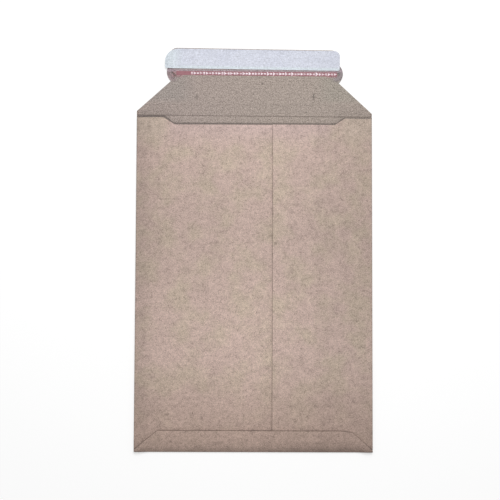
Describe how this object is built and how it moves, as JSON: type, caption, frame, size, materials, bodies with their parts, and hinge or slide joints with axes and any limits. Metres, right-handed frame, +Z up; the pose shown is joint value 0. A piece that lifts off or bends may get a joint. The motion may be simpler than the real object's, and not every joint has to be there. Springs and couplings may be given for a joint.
{
  "type": "cardboard envelope",
  "caption": "Corrugated cardboard mailing envelope with a glued front seam, a bottom flap, and an open closing flap that carries an adhesive strip, its liner and a tear strip.",
  "frame": {"origin": "middle of the bounding box, at the surface that the envelope lies on", "axes": "+X to the right and +Y from the bottom fold towards the closing flap, seen from the front; +Z up, out of the front face"},
  "size_m": [0.246, 0.4204, 0.0106],
  "materials": {
    "outer_board": "matt recycled brown kraft facing, mottled",
    "inner_board": "matt grey brown inner facing, fine washboard of the flutes",
    "adhesive": "tacky, translucent",
    "liner": "smooth siliconised paper",
    "tear_tape": "red film with small pale arrows",
    "glue": "dried, hidden between the layers"
  },
  "bodies": {
    "envelope": {"envelope_body": "outer_board", "side_seam_glue": "glue", "bottom_glue_left": "glue", "bottom_glue_right": "glue"},
    "spine": {"flap_spine": "inner_board"},
    "flap": {"closing_flap": "inner_board", "adhesive_strip": "adhesive", "release_liner": "liner", "tear_strip": "tear_tape"}
  },
  "joints": [
    {"name": "mouth_crease", "type": "hinge", "parent": "envelope", "child": "spine", "pos_m": [0, 0.13882, 0.0006], "axis": [1, 0, 0], "range_deg": [0, 90]},
    {"name": "second_crease", "type": "hinge", "parent": "spine", "child": "flap", "pos_m": [0, 0.14942, 0.0006], "axis": [1, 0, 0], "range_deg": [0, 88]}
  ]
}
